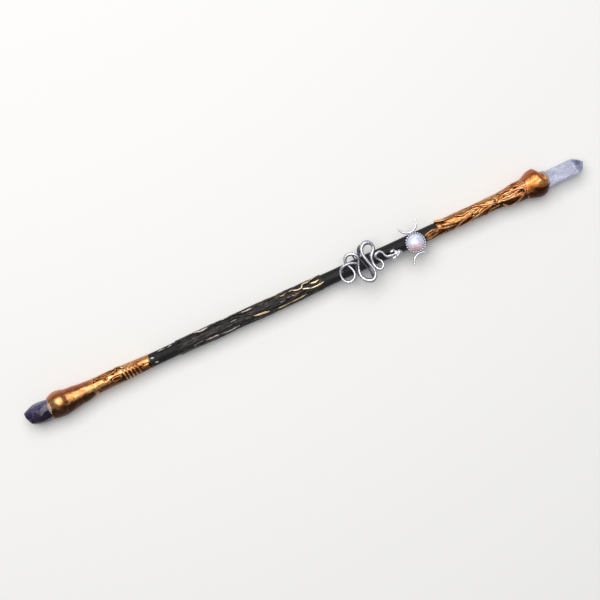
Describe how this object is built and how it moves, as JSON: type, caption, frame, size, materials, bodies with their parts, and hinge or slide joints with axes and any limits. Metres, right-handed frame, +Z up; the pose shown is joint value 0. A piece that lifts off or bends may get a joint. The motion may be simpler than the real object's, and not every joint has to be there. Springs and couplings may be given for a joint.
{
  "type": "magic wand",
  "caption": "Decorative wand: slim painted branch with sculpted gilded ends, a clear crystal point at one end, a purple crystal at the other, and snake and triple moon charms along one side.",
  "frame": {"origin": "on the surface the wand lies on, under the middle of its length and of its width over the charms", "axes": "+X along the branch towards the quartz point, +Z up on the side that carries the charms, +Y to the left looking along +X; the branch's own axis is at y = 1.1 mm, z = 8.1 mm"},
  "size_m": [0.368, 0.0259, 0.0173],
  "materials": {
    "black_paint": "satin",
    "gold_clay": "satin",
    "gold_relief": "satin",
    "copper_clay": "satin",
    "brushed_bark": "satin",
    "pale_daub": "satin",
    "quartz": "gloss",
    "amethyst": "gloss",
    "clear_glue": "gloss",
    "dark_glue": "gloss",
    "antique_silver": "satin",
    "cabochon": "polished"
  },
  "bodies": {
    "root": {"branch_core": "black_paint", "butt_collar": "gold_clay", "amethyst_point": "amethyst", "amethyst_glue_bed": "clear_glue", "butt_relief_sleeve": "gold_relief", "butt_swirl_long": "gold_relief", "butt_swirl_eye": "gold_relief", "butt_ring_ribs": "gold_relief", "butt_end_daubs": "pale_daub", "lower_bark_flecks": "brushed_bark", "bark_sleeve": "brushed_bark", "bark_ridge_1": "brushed_bark", "bark_ridge_2": "brushed_bark", "bark_ridge_3": "brushed_bark", "bark_ridge_4": "brushed_bark", "bark_ridge_5": "brushed_bark", "bark_ridge_6": "brushed_bark", "bark_ridge_7": "brushed_bark", "bark_ridge_8": "brushed_bark", "bark_ridge_9": "brushed_bark", "bark_ridge_10": "brushed_bark", "bark_ridge_11": "brushed_bark", "bark_ridge_12": "brushed_bark", "tip_relief_sleeve": "gold_relief", "tip_root_1": "gold_relief", "tip_root_2": "gold_relief", "tip_root_3": "gold_relief", "tip_root_4": "gold_relief", "tip_root_5": "gold_relief", "tip_root_6": "gold_relief", "tip_root_7": "gold_relief", "tip_root_8": "gold_relief", "tip_root_9": "gold_relief", "tip_root_10": "gold_relief", "tip_root_11": "gold_relief", "tip_root_12": "gold_relief", "tip_root_13": "gold_relief", "tip_root_14": "gold_relief", "tip_root_15": "gold_relief", "tip_root_16": "gold_relief", "tip_root_17": "gold_relief", "tip_root_18": "gold_relief", "tip_root_19": "gold_relief", "tip_eye_loop": "gold_relief", "tip_collar": "copper_clay", "quartz_point": "quartz", "quartz_glue_bed": "clear_glue", "snake_charm": "antique_silver", "snake_glue_pads": "dark_glue", "moon_setting": "antique_silver", "moon_cabochon": "cabochon", "crescent_upper": "antique_silver", "crescent_lower": "antique_silver", "moon_glue_pad": "dark_glue"}
  },
  "joints": []
}
